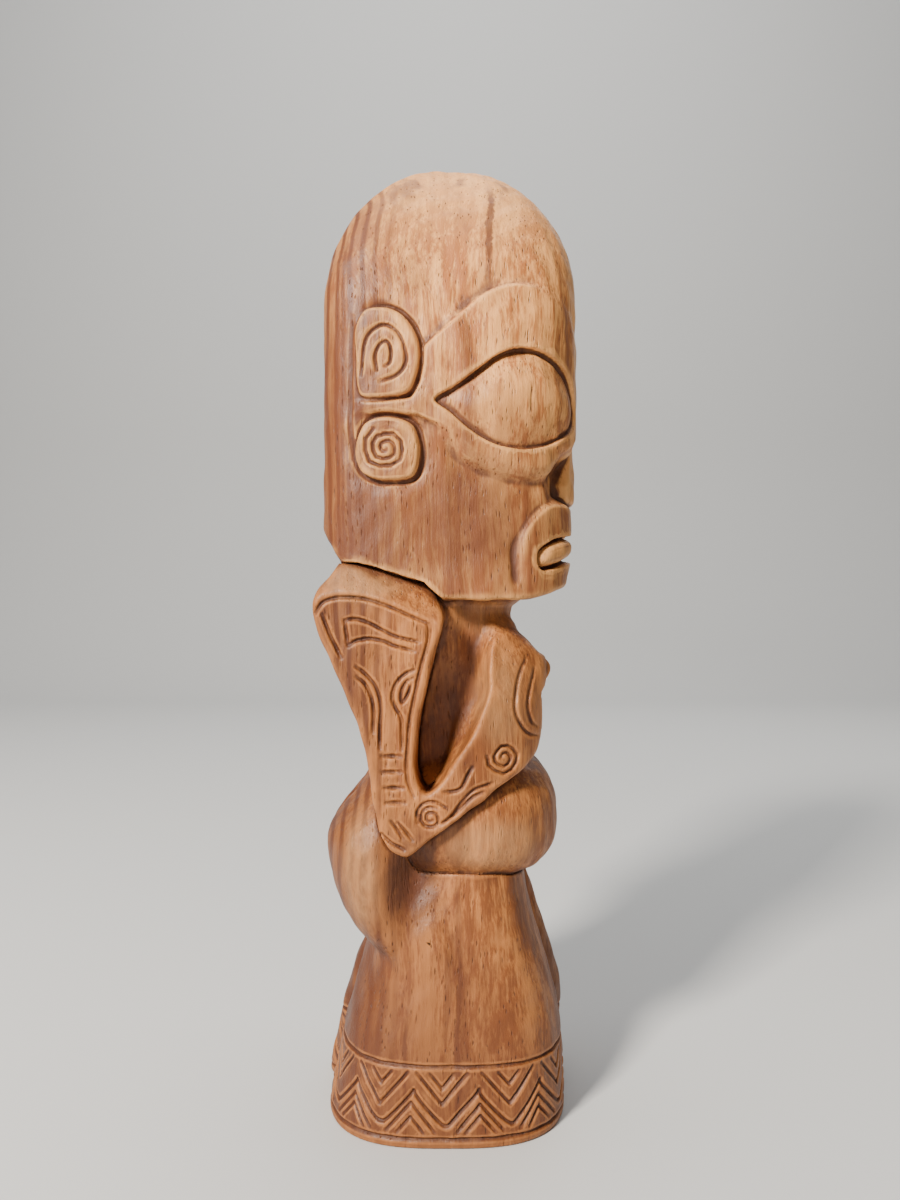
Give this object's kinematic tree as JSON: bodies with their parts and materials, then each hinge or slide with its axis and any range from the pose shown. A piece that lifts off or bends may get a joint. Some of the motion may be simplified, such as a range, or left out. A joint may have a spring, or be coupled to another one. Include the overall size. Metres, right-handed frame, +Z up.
{
  "type": "tiki figure",
  "caption": "Standing carved hardwood tiki figure with a tall domed head, arms folded to the chest, round belly and flared legs with a zigzag hem.",
  "frame": {"origin": "on the ground, under the middle of the figure's bounding box", "axes": "+X the way the figure faces, +Y its left-hand side, +Z up"},
  "size_m": [0.0804, 0.0724, 0.3],
  "materials": {
    "head_wood": "satin oiled hardwood, lighter tan",
    "body_wood": "satin oiled hardwood, redder brown"
  },
  "bodies": {
    "root": {"head": "head_wood", "torso": "body_wood", "right_arm": "body_wood", "left_arm": "body_wood", "belly": "body_wood", "hips": "body_wood", "right_leg": "body_wood", "left_leg": "body_wood"}
  },
  "joints": []
}
